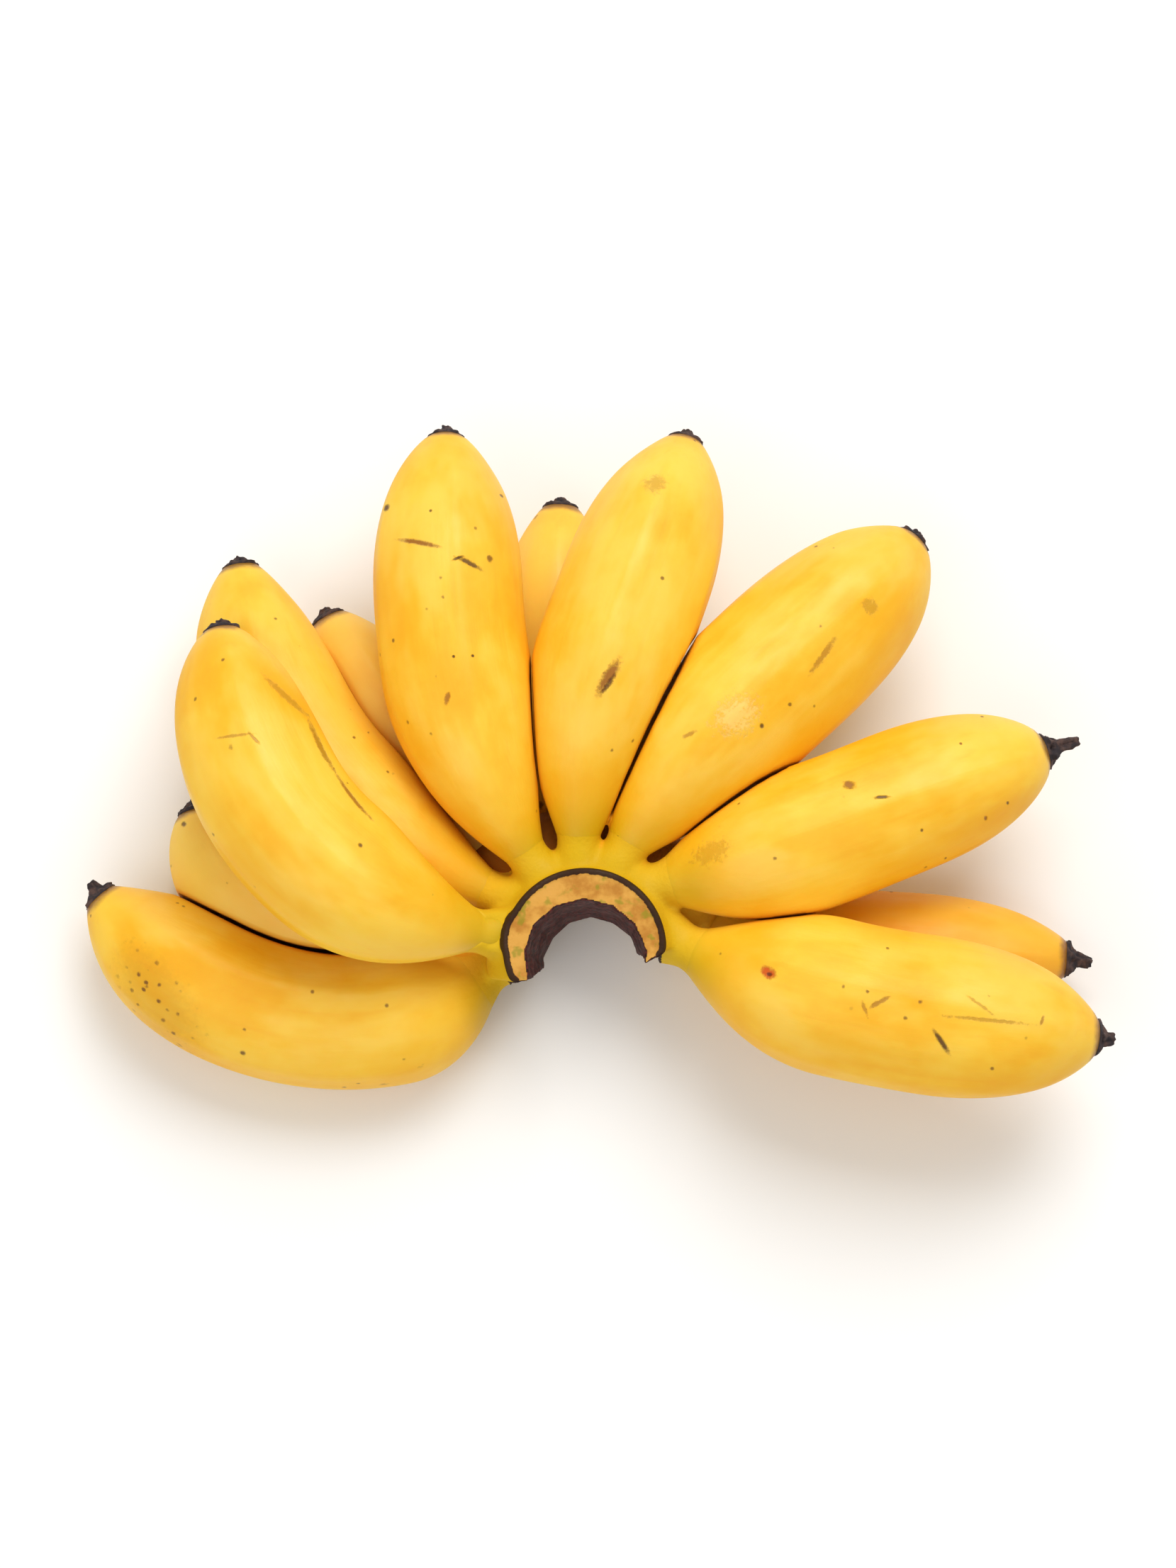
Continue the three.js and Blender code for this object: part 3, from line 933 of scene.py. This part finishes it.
def crown_body():
    """Shoulder and necks as one skin, kept low just outside the rim, then cut to its shape."""
    bm = split_shoulder()
    for fruit in fruits:
        add_neck(bm, fruit)
    bm = evaluated(bm, melt(COARSE_GRID))
    for vert in bm.verts:
        away = (vert.co - HUB).xy.length - RIM_WIDTH / 2
        if 0.8 * MM < away < 9 * MM:
            vert.co.z = min(vert.co.z, CROWN_TOP - 1.5 * MM + 0.9 * max(0.0, away - 4 * MM))
    relax(bm, bm.verts, 8)
    cutters = [notch_cutter(), front_cutter(FRONT_HALF), top_cutter()]
    cuts = [cut_away(cutter) for cutter in cutters]
    bm = evaluated(bm, melt(COARSE_GRID), *cuts, melt(FINE_GRID))
    for cutter in cutters:
        bpy.data.objects.remove(cutter)
    relax(bm, bm.verts, 1)
    return bm


crown_bm = crown_body()
print("points in the crown:", len(crown_bm.verts), "faces:", len(crown_bm.faces))


# %% Where the crown was cut, torn and dried
def label_crown(bm):
    """Writes how much each point belongs to the pale cut, the dark wall and the dried outline."""
    cut = bm.verts.layers.float.new("cut")
    wall = bm.verts.layers.float.new("wall")
    outline = bm.verts.layers.float.new("outline")
    bm.normal_update()
    skin = []
    for vert in bm.verts:
        local = vert.co - HUB
        centre = at_height(NOTCH_CENTRE, FOOT_CENTRE, local.z)
        radius = at_height(NOTCH_RADIUS, FOOT_RADIUS, local.z)
        inside = math.hypot(local.x - centre.x, local.y - centre.y) - radius
        front = local.y - front_at(local.x, local.z)
        reach = math.hypot(local.x, local.y)
        outward = vert.normal.dot(Vector((local.x, local.y, 0))) > 0.5 * reach
        near_wall = inside < 2.2 * MM or (inside < 4.5 * MM and local.z < 13 * MM)
        near_front = front < 0.9 * MM and abs(local.x) < FRONT_HALF + 0.3 * MM
        near_wall = near_wall and not (outward and reach > 17 * MM)
        near_front = near_front and not (outward and reach > 18 * MM)
        in_shoulder = reach < 20.5 * MM
        if local.z > CROWN_TOP - 1.2 * MM and vert.normal.z > 0.85 and in_shoulder:
            vert[cut] = 1.0
        elif in_shoulder and (near_wall or near_front):
            vert[wall] = 1.0
        else:
            skin.append(vert)
    tree = kdtree.KDTree(len(skin))
    for i, vert in enumerate(skin):
        tree.insert(vert.co, i)
    tree.balance()
    for vert in bm.verts:
        if vert[cut] or vert[wall]:
            distance = tree.find(vert.co)[2]
            vert[outline] = 1 - smoothstep(distance, 0.7 * MM, 1.5 * MM)
    rim = [v for v in skin if v.co.z > CROWN_TOP - 2.4 * MM and (v.co - HUB).xy.length < 20.5 * MM]
    for vert in rim:
        vert[outline] = smoothstep(vert.co.z, CROWN_TOP - 1.6 * MM, CROWN_TOP - 0.6 * MM)
    return cut, wall, outline


def shade_crown_creases(bm):
    """Painted shade: between two necks the skin is as dark as in the creases between two fruits."""
    crease_shade = bm.verts.layers.float.new("crease_shade")
    for vert in bm.verts:
        reach = (vert.co - HUB).xy.length
        if reach < CROWN_WIDTH / 2:
            continue
        second = sorted(f.skin_gap(vert.co)[0] for f in fruits)[1]
        away = smoothstep(reach, CROWN_WIDTH / 2, CROWN_WIDTH / 2 + 3 * MM)
        vert[crease_shade] = away * (1 - smoothstep(max(0.0, second), 0, CREASE_SHADE_WIDTH))
        # Painted shade: the low, upward-facing cushion between the necks is darkened too.
        if vert.normal.z > 0.3 and vert.co.z < 30 * MM:
            vert[crease_shade] = max(vert[crease_shade], away * smoothstep(vert.co.y - HUB.y, 9 * MM, 15 * MM))


def roughen_crown(bm, layers):
    """Raises the dried outline, sinks the pale cut a little, and makes the wall fibrous."""
    cut, wall, outline = layers
    shifts = []
    for vert in bm.verts:
        local = vert.co - HUB
        angle = math.atan2(local.y, local.x)
        fibre = noise.noise(Vector((angle * 6, local.z / (12 * MM), local.length / (20 * MM))))
        grain = noise.noise(vert.co / (1.3 * MM))
        shift = vert[wall] * (0.4 * fibre + 0.15 * grain) * smoothstep(local.z, 8 * MM, 18 * MM)
        shift += vert[cut] * 0.10 * grain
        shift += 0.28 * vert[outline] - 0.25 * vert[cut] * (1 - vert[outline])
        shifts.append(vert.normal * shift * MM)
    for vert, shift in zip(bm.verts, shifts):
        vert.co += shift


crown_layers = label_crown(crown_bm)
roughen_crown(crown_bm, crown_layers)
shade_crown_creases(crown_bm)
for layer, title in zip(crown_layers, ("cut face", "dark wall", "outline")):
    print("points on the", title + ":", sum(1 for v in crown_bm.verts if v[layer] > 0.5))


# %% Colours of the crown
PALE_CUT = srgb(212, 156, 66)
PALE_DRY = srgb(182, 122, 44)
MOULD = srgb(138, 132, 24)
DARK_WALL = srgb(38, 15, 15)
WALL_LIGHT = srgb(98, 38, 34)
OUTLINE = srgb(38, 14, 4)


def crown_tissue():
    """Neck skin with painted crease shade, with the cut face, the wall and the outline laid over it by their
    labels.
    """
    paint = Paint("crown tissue")
    skin, where, fine = skin_colours(paint)
    skin = shade_creases(paint, skin)
    cloud = paint.noise(where, 160, detail=4.0)
    grain = paint.noise(where, 1100, detail=3.0)
    cut_face = paint.mix(cloud.step(0.45, 0.68), PALE_CUT, PALE_DRY)
    cut_face = paint.mix(paint.noise(where, 330, detail=2.0).step(0.55, 0.68) * 0.7, cut_face, MOULD)
    dark = paint.mix(grain.step(0.35, 0.7), DARK_WALL, WALL_LIGHT)
    ragged = (grain - 0.5) * 0.7
    colour = paint.mix((paint.attribute("cut") + ragged * 0.3).step(0.35, 0.65), skin, cut_face)
    colour = paint.mix((paint.attribute("wall") + ragged * 0.3).step(0.35, 0.65), colour, dark)
    colour = paint.mix((paint.attribute("outline") + ragged).step(0.3, 0.6) * 0.97, colour, OUTLINE)
    relief = paint.bump(grain, 0.15 * MM)
    return paint.finish(
        Base_Color=colour, Roughness=cloud.step(0.3, 0.7, 0.55, 0.8), Normal=relief, Specular_IOR_Level=0.25,
    )


crown_piece = make_piece(crown_bm, "banana_crown", crown_tissue())
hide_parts("crown")
print("crown faces:", len(crown_piece.data.polygons))

# %% [markdown]
# ## Dried flowers
#
# What is left of the flower is a small, black, shrivelled stump, brittle and ribbed. It is turned like
# the fruit, then its outline is crumpled by noise and pulled into uneven ribs, and the long ones curl.

# %% Shrivelled stumps
# Shares of the foot's radius, with heights in millimetres plus shares of the stump's length.
STUMP_OUTLINE = (
    (0, -1.2, 0), (0.90, -1.2, 0), (0.99, -0.2, 0), (1.02, 0.3, 0), (0.92, 0.8, 0), (0.70, 0.8, 0.12),
    (0.46, 0.8, 0.3), (0.34, 0.8, 0.5), (0.30, 0.8, 0.7), (0.22, 0.6, 0.9), (0, 0.4, 0.9),
)
CURL = {"front_banana_7": (0.4, 2.5), "back_banana_4": (0.6, 1.5), "front_banana_1": (0.5, 0.4)}


def dried_flower(fruit):
    """A ribbed stump in millimetres, crumpled and stood on the fruit's end."""
    foot = TIP_WIDTH / 2 / MM
    long = fruit.dried / MM
    bm = bmesh.new()
    add_turned(bm, [(foot * out, up + long * share) for out, up, share in STUMP_OUTLINE], 40)
    bmesh.ops.subdivide_edges(bm, edges=bm.edges, cuts=1, use_grid_fill=True)
    point, tangent, side, rise = fruit.frame_at(1.0)
    across, above = CURL.get(fruit.name, (0, 0))
    for vert in bm.verts:
        angle = math.atan2(vert.co.y, vert.co.x)
        raised = max(0.0, vert.co.z / MM)
        loose = smoothstep(raised, 0.2, 1.6)
        seat = Vector((vert.co.x, vert.co.y, vert.co.z)) / (1.6 * MM) + Vector((3.1 * fruit.order, 0, 0))
        crumple = noise.noise(seat)
        rib = math.cos(5 * angle + 2.1 * fruit.order) + 0.5 * math.cos(3 * angle + fruit.order)
        swell = 1 + loose * (0.16 * rib + 0.45 * crumple) + 0.05 * crumple
        up = vert.co.z + loose * 0.5 * MM * noise.noise(seat * 1.7)
        bend_by = (raised / max(long, 1)) ** 2 * MM
        place = Vector((vert.co.x * swell + across * bend_by, vert.co.y * swell + above * bend_by, up))
        vert.co = point + side * place.x + rise * place.y + tangent * place.z
    return bm


def shrivelled():
    paint = Paint("dried flower")
    where = paint.place()
    cloud = paint.noise(where, 420, detail=4.0)
    colour = paint.mix(cloud.step(0.4, 0.7), srgb(36, 26, 30), srgb(86, 62, 54))
    relief = paint.bump(paint.noise(where, 1500, detail=3.0), 0.2 * MM)
    return paint.finish(Base_Color=colour, Roughness=0.8, Normal=relief)


dried_material = shrivelled()
for fruit in fruits:
    piece = make_piece(dried_flower(fruit), fruit.name.replace("banana", "withered_flower"), dried_material)
    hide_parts(fruit.name.replace("banana", "dried_flower"))
print("stumps in mm:", {f.name: round(f.dried / MM, 1) for f in fruits})

# %% [markdown]
# ## The finished fruits
#
# Each bent and pressed body now becomes a piece with its own peel.

# %% Fruits as pieces
for fruit in fruits:
    piece = make_piece(bodies[fruit.name], "ripe_" + fruit.name, peel(fruit))
    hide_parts(fruit.name)
